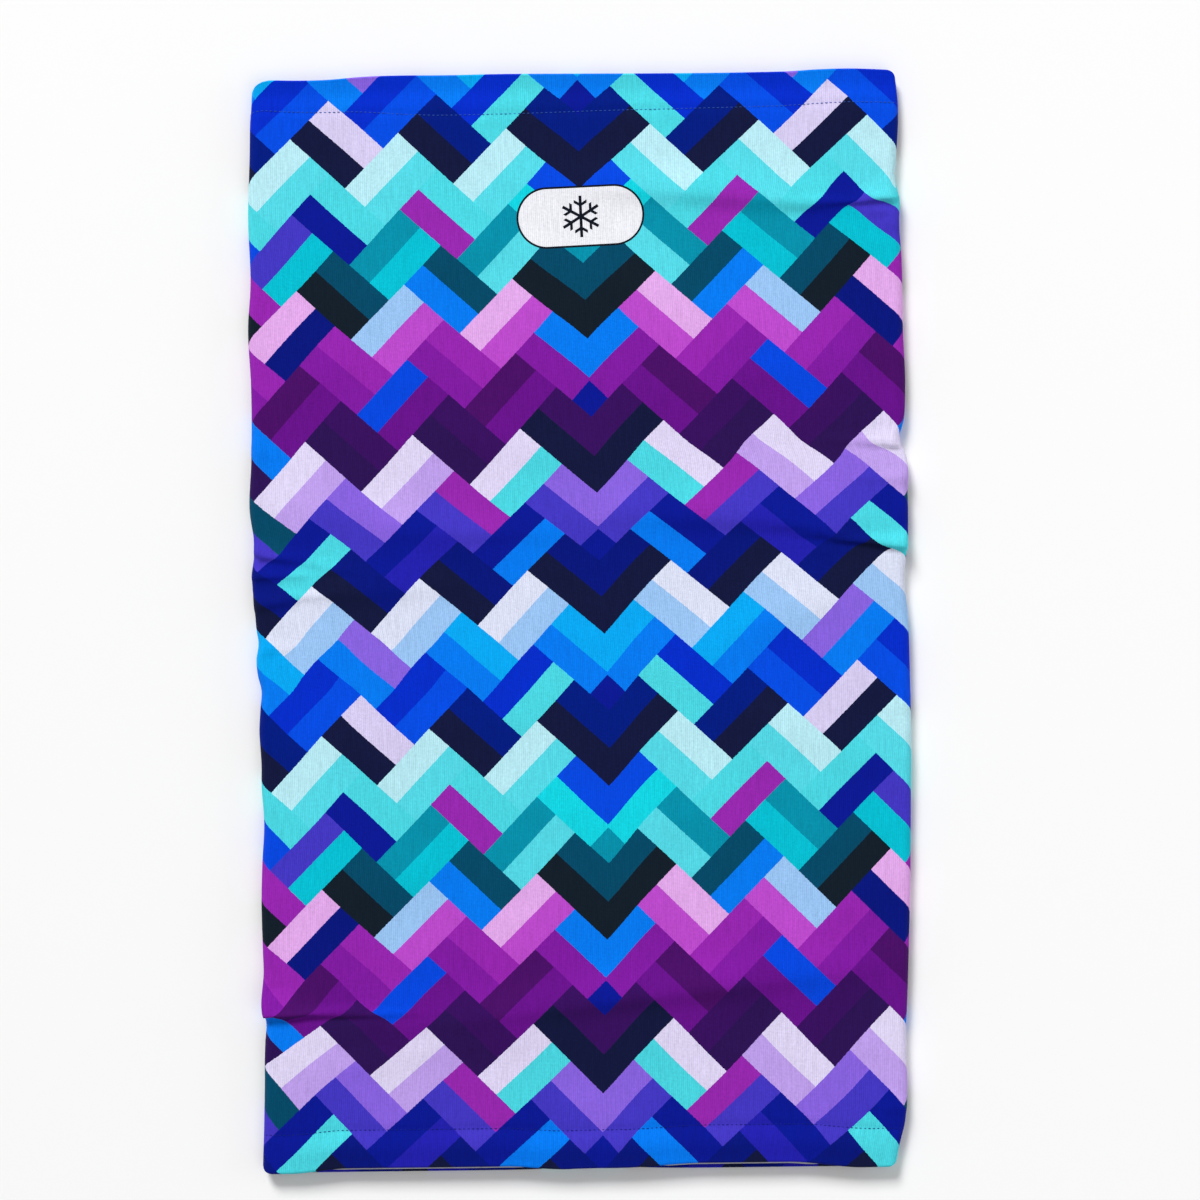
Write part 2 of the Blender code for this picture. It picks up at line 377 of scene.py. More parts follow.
# Cloth gathered into the side creases: side, height, reach in, cloth taken up, over what length, and
# the share that comes from above the crease
TAKEN_UP = [
    (-1, -142.0, 50, 4.6, 7.0, 0.35),
    (-1, 16.0, 44, 2.4, 22.0, 0.5),
    (1, 154.0, 50, 3.0, 8.0, 0.2),
    (1, 63.0, 24, 1.2, 5.0, 0.5),
    (1, 27.0, 56, 3.2, 9.0, 1.0),
]
GIVEN_BACK = 14 * MM, 70 * MM  # how far from a crease, from its start to its end


def taken_up(s, y):
    """Cloth lost into the side creases at a point, given back over a stretch away from them."""
    lost = np.zeros_like(s)
    for sign, height, reach, amount, over, above in TAKEN_UP:
        inward = np.clip(119 * MM - sign * s, 0, None)
        fade = np.clip(1 - inward / (reach * MM), 0, 1) ** 1.3
        fade = fade * (1 - smooth(np.abs(s), 124 * MM, 175 * MM))
        below = height * MM - y
        step = smooth(below, -over * MM / 2, over * MM / 2)
        lost += amount * MM * fade * (1 - above) * step * (1 - smooth(below, *GIVEN_BACK))
        lost -= amount * MM * fade * above * (1 - step) * (1 - smooth(-below, *GIVEN_BACK))
    return lost


def print_at(s, y):
    """The print's own coordinates (across from its mirror line, down from its first row)."""
    for top in (False, True):
        y = y - toward(top) * corner_shift(s, top) * corner_reach(y, top)
    x = across_at(s, HALF_WIDTH)
    # The front's own distortions fade out on the back
    front = 1 - np.clip((np.abs(s) - 130 * MM) / (110 * MM), 0, 1)
    row = y
    for _ in range(3):
        row = y - curve(row, RISE) * (x - curve(row, DRIFT))
    across = s - curve(row, DRIFT) * front
    spread = np.where(across < 0, curve(row, SPREAD_LEFT), curve(row, SPREAD_RIGHT))
    across = across * (1 - spread * front)
    across = across + curve(row, SKIP_RIGHT) * smooth(across, 0, 14 * MM) * front
    down = PRINT_TOP - row + curve(row, GATHER) + taken_up(s, y)
    # Towards the bottom hem the rows sag in the middle
    bow = (2.2 * (x / (110 * MM)) ** 2 - 0.9) * MM
    down = down + bow * smooth(-y, 125 * MM, 165 * MM) * front
    return across, down


# ----------------------------------------
# Settling the front of the shell on the lining: its cut holds more cloth than the place it lies in, so
# the rest goes into folds

SETTLE_STEP = 2.4 * MM
SETTLE_S = 127.2 * MM
SETTLE_Y = 186 * MM
PLACE_ROUND = 1.0126  # the place's length round against s, near enough
SLACK_ALONG, SLACK_ACROSS = 1.018, 1.004  # how much longer the cut is than the place
SETTLE_FRAMES = 20
ENLARGE = 10  # the solver works better on larger cloth


def grid_faces(columns, rows):
    """The quads of a sheet whose points run row by row within each column."""
    i, j = np.meshgrid(np.arange(columns - 1), np.arange(rows - 1), indexing="ij")
    a = (i * rows + j).ravel()
    return np.stack([a, a + rows, a + rows + 1, a + 1], 1)


def enlarged(name, points):
    """An enlarged sheet for the solver."""
    mesh = bpy.data.meshes.new(name)
    places = (points.reshape(-1, 3) * ENLARGE).tolist()
    mesh.from_pydata(places, [], grid_faces(*points.shape[:2]).tolist())
    made = bpy.data.objects.new(name, mesh)
    bpy.context.scene.collection.objects.link(made)
    return made


def settling_cloth(start, cut, edge):
    """The front panel, held at its edge, with the cut as its shape at rest."""
    cloth = enlarged("settling", start)
    cloth.shape_key_add(name="Basis")
    key = cloth.shape_key_add(name="cut")
    key.data.foreach_set("co", (cut.reshape(-1, 3) * ENLARGE).ravel())
    held = cloth.vertex_groups.new(name="held")
    held.add(np.flatnonzero(edge.ravel()).tolist(), 1.0, "REPLACE")
    modifier = cloth.modifiers.new("cloth", "CLOTH")
    knit = modifier.settings
    knit.quality = 6
    knit.mass = 0.2
    knit.tension_stiffness = knit.compression_stiffness = 30
    knit.shear_stiffness = 4
    knit.bending_stiffness = 0.35
    knit.tension_damping = knit.compression_damping = knit.shear_damping = 8
    knit.bending_damping = 1.0
    knit.air_damping = 2
    knit.effector_weights.gravity = 0.3
    knit.vertex_group_mass = "held"
    knit.rest_shape_key = key
    touch = modifier.collision_settings
    touch.use_collision = True
    touch.collision_quality = 3
    touch.distance_min = 0.003
    touch.use_self_collision = True
    touch.self_distance_min = 0.004
    modifier.point_cache.frame_start = 1
    modifier.point_cache.frame_end = SETTLE_FRAMES
    return cloth


def settling_ground(s, y):
    """What the front panel settles on: the tube with its soft swellings, without the creases."""
    under = enlarged("under", place(s, y, 0.6 * MM, creased=False))
    under.modifiers.new("collision", "COLLISION")
    under.collision.thickness_outer = 0.003
    under.collision.damping = 0.5
    under.collision.cloth_friction = 8
    return under


def settle():
    """Displacements (columns, rows, 3) of the front panel after a cloth simulation, on a regular grid."""
    columns = int(round(2 * SETTLE_S / SETTLE_STEP)) + 1
    rows = int(round(2 * SETTLE_Y / SETTLE_STEP)) + 1
    s = np.linspace(-SETTLE_S, SETTLE_S, columns)
    y = np.linspace(-SETTLE_Y, SETTLE_Y, rows)
    s, y = np.meshgrid(s, y, indexing="ij")
    start = place(s, y, 0.0)
    round_it = s * PLACE_ROUND * SLACK_ACROSS
    cut = np.stack([round_it, y * SLACK_ALONG - taken_up(s, y), np.zeros_like(s)], -1)
    edge = (np.abs(s) > SETTLE_S - 1e-6) | (np.abs(y) > SETTLE_Y - 1e-6)
    cloth = settling_cloth(start, cut, edge)
    under = settling_ground(s, y)
    scene = bpy.context.scene
    scene.frame_start, scene.frame_end = 1, SETTLE_FRAMES
    for step in range(1, SETTLE_FRAMES + 1):
        scene.frame_set(step)
    done = cloth.evaluated_get(bpy.context.evaluated_depsgraph_get()).to_mesh()
    points = np.zeros(len(done.vertices) * 3)
    done.vertices.foreach_get("co", points)
    moved = points.reshape(start.shape) / ENLARGE - start
    cloth.to_mesh_clear()
    for o in (cloth, under):
        bpy.data.objects.remove(o)
    scene.frame_set(1)
    return moved


def cubic_weights(t):
    """The four weights of a cubic line through evenly spaced values, at t between the middle two."""
    return (
        (-t + 2 * t**2 - t**3) / 2,
        (2 - 5 * t**2 + 3 * t**3) / 2,
        (t + 4 * t**2 - 3 * t**3) / 2,
        (-(t**2) + t**3) / 2,
    )


def sampled(field, s, y):
    """The settled field at (s, y), by cubic interpolation, and nothing outside it."""
    columns, rows = field.shape[:2]
    u = (s + SETTLE_S) / SETTLE_STEP
    v = (y + SETTLE_Y) / SETTLE_STEP
    inside = (u >= 0) & (u <= columns - 1) & (v >= 0) & (v <= rows - 1)
    u, v = np.clip(u, 0, columns - 1), np.clip(v, 0, rows - 1)
    i, j = np.minimum(u.astype(int), columns - 2), np.minimum(v.astype(int), rows - 2)
    out = np.zeros(s.shape + (3,))
    for a, wa in enumerate(cubic_weights(u - i)):
        for b, wb in enumerate(cubic_weights(v - j)):
            ii, jj = np.clip(i + a - 1, 0, columns - 1), np.clip(j + b - 1, 0, rows - 1)
            out += (wa * wb)[..., None] * field[ii, jj]
    return out * inside[..., None]


settled = None
settled = settle()


# ----------------------------------------
# Meshes


def make(name, points, faces, uv, material):
    """A piece with its cloth coordinates, given corner by corner of its faces."""
    mesh = bpy.data.meshes.new(name)
    mesh.from_pydata(points.tolist(), [], faces)
    mesh.polygons.foreach_set("use_smooth", [True] * len(mesh.polygons))
    layer = mesh.uv_layers.new(name="cloth")
    layer.data.foreach_set("uv", np.asarray(uv, np.float32).ravel())
    mesh.update()
    piece = bpy.data.objects.new(name, mesh)
    bpy.context.scene.collection.objects.link(piece)
    piece.data.materials.append(material)
    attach(piece, "root")
    return piece


def grid(name, points, across, along, material, flip=False):
    """A sheet from a (columns, rows, 3) array of points, with its cloth coordinates for the material."""
    quads = grid_faces(*points.shape[:2])
    if flip:
        quads = quads[:, ::-1]
    uv = np.stack([across.ravel(), along.ravel()], 1)[quads.ravel()]
    return make(name, points.reshape(-1, 3), quads.tolist(), uv, material)


# ----------------------------------------
# Materials


class Paint:
    """A node material with short calls for arithmetic."""

    def __init__(self, name, sockets):
        self.material = bpy.data.materials.new(name)
        self.material.use_nodes = True
        self.tree = self.material.node_tree
        self.tree.nodes.clear()
        out = self.node("ShaderNodeOutputMaterial")
        self.shader = self.node("ShaderNodeBsdfPrincipled", sockets)
        self.tree.links.new(self.shader.outputs[0], out.inputs["Surface"])

    def feed(self, socket, value):
        if isinstance(value, bpy.types.NodeSocket):
            self.tree.links.new(value, socket)
        else:
            socket.default_value = value

    def node(self, kind, inputs=None, **settings):
        made = self.tree.nodes.new(kind)
        for key, value in settings.items():
            setattr(made, key, value)
        for key, value in (inputs or {}).items():
            self.feed(made.inputs[key], value)
        return made

    def math(self, operation, *values):
        made = self.node("ShaderNodeMath", operation=operation)
        for i, value in enumerate(values):
            self.feed(made.inputs[i], value)
        return made.outputs[0]

    def add(self, a, b):
        return self.math("ADD", a, b)

    def take(self, a, b):
        return self.math("SUBTRACT", a, b)

    def times(self, a, b):
        return self.math("MULTIPLY", a, b)

    def over(self, a, b):
        return self.math("DIVIDE", a, b)

    def above(self, a, b):
        return self.math("GREATER_THAN", a, b)

    def below(self, a, b):
        return self.math("LESS_THAN", a, b)

    def size(self, a):
        return self.math("ABSOLUTE", a)

    def choose(self, test, yes, no):
        """yes where test is 1, no where it is 0."""
        return self.add(self.times(test, yes), self.times(self.take(1.0, test), no))

    def length(self, a, b):
        return self.math("SQRT", self.add(self.times(a, a), self.times(b, b)))

    def wave(self, a, pitch):
        return self.math("SINE", self.times(a, 2 * math.pi / pitch))

    def centred(self, a, amount):
        """A value that runs from 0 to 1, moved to lie round 0 and scaled."""
        return self.times(self.take(a, 0.5), amount)

    def mix(self, factor, a, b):
        made = self.node("ShaderNodeMix", data_type="RGBA")
        self.feed(made.inputs[0], factor)
        self.feed(made.inputs[6], a)
        self.feed(made.inputs[7], b)
        return made.outputs[2]

    def coordinates(self):
        """(across, along) in metres from the cloth's UV layer, and the vector itself."""
        uv = self.node("ShaderNodeUVMap", uv_map="cloth").outputs[0]
        parts = self.node("ShaderNodeSeparateXYZ", {0: uv})
        return parts.outputs[0], parts.outputs[1], uv

    def noise(self, vector, scale, detail=2.0, roughness=0.5):
        inputs = {"Vector": vector, "Scale": scale, "Detail": detail, "Roughness": roughness}
        return self.node("ShaderNodeTexNoise", inputs).outputs[0]

    def surface(self, colour, height, distance, strength):
        """Feeds the shader's colour, and its normal from a bump of this height."""
        self.feed(self.shader.inputs["Base Color"], colour)
        bump = {"Height": height, "Distance": distance, "Strength": strength}
        self.feed(self.shader.inputs["Normal"], self.node("ShaderNodeBump", bump).outputs[0])


def linear(red, green, blue):
    """A colour given as 8-bit sRGB, as linear RGBA."""
    parts = [c / 255 for c in (red, green, blue)]
    return tuple(c / 12.92 if c <= 0.04045 else ((c + 0.055) / 1.055) ** 2.4 for c in parts) + (1.0,)


# The print's inks
INKS = {
    "navy": (1, 28, 130), "night": (18, 24, 62), "ice": (185, 235, 245), "aqua": (85, 218, 232),
    "turquoise": (75, 216, 228), "cyan": (17, 214, 228), "teal": (3, 145, 172), "sea": (3, 192, 212),
    "deep_teal": (2, 74, 104), "black_teal": (18, 30, 42), "pink": (228, 170, 236),
    "orchid": (190, 75, 206), "plum": (152, 38, 177), "purple": (130, 27, 163),
    "dark_plum": (75, 14, 103), "grape": (105, 17, 140), "aubergine": (57, 15, 95),
    "nightshade": (45, 18, 84), "lavender_white": (225, 216, 247), "lavender": (192, 160, 238),
    "violet": (138, 100, 226), "blue_violet": (68, 56, 196), "ink": (8, 24, 148),
    "indigo": (35, 32, 175), "ink_navy": (6, 22, 125), "frost": (222, 227, 248),
    "pale_blue": (155, 198, 245), "sky": (5, 170, 246), "azure": (3, 123, 243),
    "royal": (2, 45, 203), "bright_royal": (2, 77, 229), "lilac_white": (215, 205, 242),
    "cobalt": (3, 72, 225), "magenta": (152, 40, 176),
}  # fmt: skip

# Each row of blocks: falling blocks' upper and lower bars, rising blocks' upper and lower bars
ROWS = [
    ("navy", "night", "ice", "aqua"),
    ("turquoise", "cyan", "teal", "sea"),
    ("deep_teal", "black_teal", "pink", "orchid"),
    ("plum", "purple", "dark_plum", "grape"),
    ("aubergine", "nightshade", "lavender_white", "lavender"),
    ("violet", "blue_violet", "ink", "indigo"),
    ("ink_navy", "night", "frost", "pale_blue"),
    ("sky", "azure", "royal", "bright_royal"),
]
FALL_UP, FALL_LOW, RISE_UP, RISE_LOW = range(4)
# Single bars in another ink: (row, column from the centre, bar)
ACCENTS = {
    (0, 2, FALL_UP): "lilac_white", (1, 0, FALL_UP): "cobalt", (1, 1, FALL_LOW): "magenta",
    (1, 2, FALL_LOW): "ink", (1, 3, FALL_LOW): "cobalt", (1, 2, RISE_UP): "blue_violet",
    (1, 0, RISE_LOW): "aqua", (2, 1, FALL_LOW): "azure", (2, 3, FALL_UP): "plum",
    (2, 1, RISE_UP): "pale_blue", (2, 2, RISE_LOW): "ink_navy", (3, 0, FALL_UP): "azure",
    (3, 1, RISE_UP): "cobalt", (4, 0, FALL_LOW): "night", (4, 3, FALL_UP): "azure",
    (4, 0, RISE_LOW): "turquoise", (5, 1, FALL_UP): "magenta", (5, 3, FALL_UP): "deep_teal",
    (5, 0, RISE_LOW): "azure", (5, 2, RISE_LOW): "turquoise", (7, 2, FALL_UP): "violet",
    (7, 0, RISE_LOW): "turquoise",
    (0, -1, RISE_UP): "night", (1, -1, RISE_UP): "teal", (2, -1, RISE_UP): "black_teal",
    (3, -1, RISE_UP): "ink", (4, -1, RISE_UP): "night", (5, -1, RISE_UP): "ink",
    (6, -1, RISE_UP): "night", (7, -1, RISE_UP): "ink",
}  # fmt: skip
COLUMNS = range(-1, 4)  # from the mirror line's own half blocks outwards
ENTRIES = 4 * len(ROWS)
# The blocks' lattice, in units: a zigzag's period, a block's length and its width
UNIT_ACROSS = 6.66 * MM
UNIT_DOWN = 6.35 * MM
PERIOD = 6.0
BLOCK = 3.0
BAR = 2.155
START = 4.0  # from the mirror line to the middle of the first whole period

BADGE_DOWN = 33.2 * MM
BADGE_HALF_BAR = 12.5 * MM
BADGE_RADIUS = 10.5 * MM
BADGE_RIM = 0.75 * MM
RIB_PITCH = 0.72 * MM
LOOP_PITCH = 0.5 * MM


def ink_of(row, column, bar):
    return ACCENTS.get((row, column, bar), ROWS[row][bar])


def ink_ramp(p, entry, column):
    """One column's inks along a ramp: for each row its rising bars, then the next row's falling bars."""
    ramp = p.node("ShaderNodeValToRGB", {0: entry})
    ramp.color_ramp.interpolation = "CONSTANT"
    steps = ramp.color_ramp.elements
    while len(steps) < ENTRIES:
        steps.new(1.0)
    for n in range(ENTRIES):
        row, which = divmod(n, 4)
        if which < 2:
            name = ink_of(row, column, (RISE_UP, RISE_LOW)[which])
        else:
            name = ink_of((row + 1) % len(ROWS), column, (FALL_UP, FALL_LOW)[which - 2])
        steps[n].position = n / ENTRIES
        steps[n].color = linear(*INKS[name])
    return ramp.outputs[0]


def raised(p, across, down):
    """How high the zigzags' points sit on the mirror line, less and less below the top."""
    off = p.over(across, 13 * MM)
    bow = p.math("EXPONENT", p.times(p.times(off, off), -1.0))
    fall = {"From Min": 62 * MM, "From Max": 125 * MM, "To Min": 2.4 * MM, "To Max": 0.0}
    return p.times(bow, p.node("ShaderNodeMapRange", {"Value": down, **fall}).outputs[0])


def herringbone(p, across, down):
    """The ink of the block that the point lies in."""
    x = p.over(p.size(across), -UNIT_ACROSS)
    y = p.over(down, UNIT_DOWN)
    # Which period across and row of blocks the point is in, and where in them
    period = p.math("FLOOR", p.over(p.add(x, START + BLOCK), PERIOD))
    local = p.take(p.add(x, START), p.times(period, PERIOD))
    zig = p.take(y, p.size(local))
    row = p.math("FLOOR", p.over(zig, 2 * BAR))
    g = p.over(p.take(zig, p.times(row, 2 * BAR)), 2.0)
    rightward = p.above(local, 0.0)
    plus, minus = p.add(local, g), p.take(local, g)
    rising = p.choose(rightward, p.below(plus, BAR), p.above(minus, -BLOCK))
    falling = p.take(1.0, rising)
    g_low = p.above(g, BAR / 2)
    low_of_rising = p.choose(rightward, p.above(plus, BAR / 2), g_low)
    low_of_falling = p.choose(rightward, g_low, p.below(minus, -BLOCK - BAR / 2))
    low = p.choose(rising, low_of_rising, low_of_falling)
    bar = p.add(p.times(falling, 2.0), low)
    # A falling block left of its period's middle belongs to the next column outwards
    column = p.take(p.times(falling, p.take(1.0, rightward)), period)
    # The columns past the third repeat columns 1 to 3
    again = p.add(p.math("FLOORED_MODULO", p.take(column, 1.0), 3.0), 1.0)
    column = p.choose(p.above(column, 3.5), again, column)
    entry = p.add(p.times(p.math("FLOORED_MODULO", row, float(len(ROWS))), 4.0), bar)
    entry = p.over(p.add(entry, 0.5), float(ENTRIES))
    colour = ink_ramp(p, entry, COLUMNS[0])
    for c in COLUMNS[1:]:
        colour = p.mix(p.above(column, c - 0.5), colour, ink_ramp(p, entry, c))
    return colour


def badge(p, across, down, colour):
    """A plain white lozenge with a snow crystal, on the print's mirror line, over the print's colour."""
    down = p.take(down, BADGE_DOWN)
    past_bar = p.math("MAXIMUM", p.take(p.size(across), BADGE_HALF_BAR), 0.0)
    away = p.length(past_bar, down)
    # The crystal is half an arm, mirrored and turned into six
    sixth = math.pi / 3
    angle = p.math("ARCTAN2", across, down)
    turned = p.math("FLOORED_MODULO", p.add(angle, sixth / 2), sixth)
    arm = p.size(p.take(turned, sixth / 2))
    reach = p.length(across, down)
    along, aside = p.times(reach, p.math("COSINE", arm)), p.times(reach, p.math("SINE", arm))
    spoke = p.times(p.below(aside, 0.55 * MM), p.below(along, 7.6 * MM))
    slant = p.times(p.take(along, 4.2 * MM), math.sin(sixth))
    twig = p.size(p.take(slant, p.times(aside, math.cos(sixth))))
    twig = p.times(p.below(twig, 0.5 * MM), p.below(aside, 2.4 * MM))
    dark = linear(16, 22, 34)
    white = p.mix(p.math("MAXIMUM", spoke, twig), linear(240, 240, 247), dark)
    colour = p.mix(p.below(away, BADGE_RADIUS + BADGE_RIM), colour, dark)
    return p.mix(p.below(away, BADGE_RADIUS), colour, white)


def printed_knit():
    sockets = {"Specular IOR Level": 0.04, "Sheen Weight": 0.02, "Sheen Roughness": 0.5}
    p = Paint("printed_knit", {"Roughness": 0.78, **sockets})
    across, down, uv = p.coordinates()
    # The knit frays the print's edges a little
    fuzz = p.node("ShaderNodeTexNoise", {"Vector": uv, "Scale": 1500.0, "Detail": 1.0})
    wander = p.node("ShaderNodeSeparateColor", {0: fuzz.outputs[1]})
    frayed_across = p.add(across, p.centred(wander.outputs[0], 0.45 * MM))
    frayed_down = p.add(down, p.centred(wander.outputs[1], 0.45 * MM))
    colour = herringbone(p, frayed_across, p.add(frayed_down, raised(p, across, down)))
    colour = badge(p, across, down, colour)
    # Knit: fine upright ribs, short stitches within them, and an uneven brushed tone, with painted shade
    # that darkens the grooves between the ribs
    rib = p.wave(across, RIB_PITCH)
    loop = p.add(p.times(down, 2 * math.pi / LOOP_PITCH), p.times(p.size(rib), 2.0))
    loop = p.math("SINE", loop)
    grain = p.noise(uv, 900.0, 3.0, 0.7)
    patches = p.noise(uv, 60.0, 2.0)
    streak = p.node("ShaderNodeMapping", {"Vector": uv, "Scale": (1100.0, 120.0, 1.0)}).outputs[0]
    tone = p.add(p.centred(grain, 0.42), p.centred(patches, 0.10))
    tone = p.add(tone, p.centred(p.noise(streak, 1.0, 2.0), 0.32))
    # Painted shade: the colour is lighter on the ribs and darker in the grooves between them
    tone = p.add(tone, p.times(rib, 0.08))
    lit = p.node("ShaderNodeHueSaturation", {"Color": colour, "Value": p.add(tone, 1.0)}).outputs[0]
    height = p.add(p.times(rib, 0.5), p.times(loop, 0.3))
    p.surface(lit, p.add(height, p.times(grain, 1.2)), 0.08 * MM, 0.5)
    return p.material


def brushed_lining():
    sockets = {"Specular IOR Level": 0.1, "Sheen Weight": 0.35, "Sheen Roughness": 0.6}
    p = Paint("brushed_lining", {"Roughness": 0.95, **sockets})
    _, _, uv = p.coordinates()
    fluff = p.noise(uv, 1400.0, 4.0, 0.75)
    clumps = p.noise(uv, 260.0, 3.0, 0.6)
    tone = p.add(p.times(fluff, 0.5), p.times(clumps, 0.5))
    p.surface(p.mix(tone, linear(150, 150, 160), linear(225, 225, 232)), tone, 0.3 * MM, 0.8)
    return p.material


def thread(name, light, dark):
    p = Paint(name, {"Roughness": 0.7, "Specular IOR Level": 0.15})
    across, along, _ = p.coordinates()
    ply = p.wave(p.add(along, across), 0.35 * MM)
    ply = p.add(p.times(ply, 0.5), 0.5)
    # Painted shade: the thread is darker in its twist's grooves and lighter on its crests, following the
    # bump
    p.surface(p.mix(ply, dark, light), ply, 0.05 * MM, 0.6)
    return p.material


def label_ribbon():
    p = Paint("label_ribbon", {"Roughness": 0.5, "Sheen Weight": 0.15})
    across, along, uv = p.coordinates()
    weave = p.times(p.wave(across, 0.25 * MM), p.wave(along, 0.25 * MM))
    # Partly painted shade: the colour is darker in the weave's dips; the noise gives an uneven tone
    tone = p.add(p.times(weave, 0.2), p.noise(uv, 300.0))
    p.surface(p.mix(tone, linear(214, 214, 218), linear(244, 244, 246)), weave, 0.03 * MM, 0.6)
    return p.material


PRINTED = printed_knit()
BRUSHED = brushed_lining()
BLUE = thread("blue_thread", linear(66, 112, 200), linear(36, 70, 160))
# Painted shade: the bottom hem's needle thread is the top hem's blue thread in darker tones
SHADED_BLUE = thread("shaded_blue_thread", linear(22, 40, 150), linear(10, 22, 100))
GREY = thread("grey_thread", linear(205, 205, 212), linear(150, 150, 160))
RIBBON = label_ribbon()


# ----------------------------------------
# Camera, light and floor

camera = bpy.data.objects.new("camera", bpy.data.cameras.new("camera"))
bpy.context.scene.collection.objects.link(camera)
camera.data.lens = 100
camera.data.sensor_width = 36
camera.data.clip_end = 20
camera.data.dof.use_dof = False
camera.location = (7.4 * MM, 7.75 * MM, 1.2366)
camera.rotation_euler = (0, 0, math.radians(-0.68))
bpy.context.scene.camera = camera


def lamp(name, location, size, watts):
    """A square lamp that looks at the origin."""
    data = bpy.data.lights.new(name, "AREA")
    data.size = size
    data.energy = watts
    made = bpy.data.objects.new(name, data)
    bpy.context.scene.collection.objects.link(made)
    made.location = location
    made.rotation_euler = (-Vector(location)).to_track_quat("-Z", "Y").to_euler()


lamp("key", (-2.55, 6.0, 5.1), 2.7, 628)
lamp("fill", (1.1, -1.3, 2.2), 2.0, 13)
lamp("rim", (3.0, 0.2, 0.7), 1.5, 15)

world = bpy.data.worlds.new("world")
bpy.context.scene.world = world
world.use_nodes = True
sky = world.node_tree.nodes["Background"]
sky.inputs["Color"].default_value = (1, 1, 1, 1)
sky.inputs["Strength"].default_value = 0.285
bpy.context.scene.view_settings.view_transform = "Standard"

FLOOR_Z = -0.3 * MM
FLOOR_HALF = 8.0
floor_mesh = bpy.data.meshes.new("floor")
corners = [(x * FLOOR_HALF, y * FLOOR_HALF, FLOOR_Z) for x, y in ((-1, -1), (1, -1), (1, 1), (-1, 1))]
floor_mesh.from_pydata(corners, [], [(0, 1, 2, 3)])
floor = bpy.data.objects.new("floor", floor_mesh)
bpy.context.scene.collection.objects.link(floor)
floor_paint = bpy.data.materials.new("floor")
floor_paint.use_nodes = True
floor_shader = floor_paint.node_tree.nodes["Principled BSDF"]
floor_shader.inputs["Base Color"].default_value = (0.98, 0.98, 0.98, 1)
floor_shader.inputs["Roughness"].default_value = 0.9
floor_mesh.materials.append(floor_paint)


# ----------------------------------------
# The shell

TURN = 0.95 * MM  # radius of the shell's turned edge


def shell_hem():
    """(distance in from the hem edge, depth) along the shell, from inside the hem to its face."""
    inside = [(7.5, 0.9), (5.0, 0.9), (3.2, 1.0), (2.4, 1.3), (2.1, 1.65), (1.7, 1.88)]
    turn = np.radians(np.linspace(180, 0, 11))
    roll = [(TURN * (1 - math.sin(a)), TURN * (1 - math.cos(a))) for a in turn]
    return [(e * MM, d * MM) for e, d in inside] + roll


def lining_hem():
    """The same along the lining."""
    inside = [(7.5, 1.45), (5.0, 1.45), (3.2, 1.5), (2.3, 1.6), (1.95, 1.75), (1.9, 1.95), (2.1, 2.08)]
    return [(e * MM, d * MM) for e, d in inside]


def rows_of(hem, first, face, spacing, fine):
    """Rows along the whole tube as (y, depth), with the face from first to first inside the hem edges.

    fine lists (y, half-width, spacing) of closer rows."""
    y, found = -HALF_LENGTH + first, []
    while y < HALF_LENGTH - first:
        found.append((y, face))
        y += min([spacing] + [closer for middle, half, closer in fine if abs(y - middle) < half])
    bottom = [(-HALF_LENGTH + e, d) for e, d in hem]
    top = [(HALF_LENGTH - e, d) for e, d in hem[::-1]]
    return np.array(bottom + found + [(HALF_LENGTH - first, face)] + top)


def columns_of(spacing_front, spacing_back):
    """s values right round the tube, closer round the side folds."""
    found, s = [], -HALF_ROUND
    while s < HALF_ROUND:
        found.append(s)
        if abs(abs(s) - FOLD_S) < 6 * MM:
            s += 0.75 * MM
        else:
            s += spacing_front if abs(s) < FOLD_S else spacing_back
    return np.array(found + [HALF_ROUND])


def stitch_line(s, top):
    """Where the topstitching runs, as y."""
    return toward(top) * (HALF_LENGTH - stitch_inset(s, top))


def build_shell():
    stitch = HALF_LENGTH - 14 * MM
    fine = [
        (-stitch, 3 * MM, 0.7 * MM),
        (stitch, 4 * MM, 0.7 * MM),
        (-141 * MM, 10 * MM, 0.9 * MM),
        (20 * MM, 14 * MM, 1.0 * MM),
        (154 * MM, 8 * MM, 1.0 * MM),
    ]
    rows = rows_of(shell_hem(), 1.6 * MM, 0, 1.5 * MM, fine)
    columns = columns_of(1.6 * MM, 2.6 * MM)
    s, y = np.meshgrid(columns, rows[:, 0], indexing="ij")
    depth = np.broadcast_to(rows[:, 1], s.shape)
    points = place(s, y, depth)
    if settled is not None:
        points += sampled(settled, s, y) * (depth == 0)[..., None]
    front = np.abs(s) < FOLD_S
    # The topstitching and the back seam pull the cloth in, the topstitching a little unevenly
    dip = np.zeros_like(s)
    for top in (False, True):
        line = stitch_line(s, top)
        pucker = np.sin(s * 2 * math.pi / (7.3 * MM) + 2 * np.sin(s / (23 * MM)))
        dip += STITCH_DIP * hill(y, line, 1.5 * MM)
        dip += 0.09 * MM * pucker * hill(y, line, 6 * MM)
    dip += 0.6 * MM * hill(np.abs(s), HALF_ROUND, 1.3 * MM)
    # The top hem is thickest at its edge, and the bottom hem is plump between edge and stitching
    face = (depth == 0) * front
    dip += 0.7 * MM * hill(y, HALF_LENGTH - 6 * MM, 4.2 * MM) * face
    plump = np.cos(math.pi / 2 * np.clip((y + HALF_LENGTH - 7.6 * MM) / (6.8 * MM), -1, 1)) ** 2
    dip -= 0.7 * MM * plump * face * (1 - smooth(np.abs(s), 100 * MM, 117 * MM))
    inward = np.where(front, -1.0, 1.0)
    points[..., 2] += dip * inward * (np.abs(np.abs(s) - FOLD_S) > SEAM_GAP)
    across, down = print_at(s, y)
    shell = grid("shell_knit", points, across, down, PRINTED)
    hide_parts("shell")
    return shell


shell = build_shell()


# ----------------------------------------
# The lining


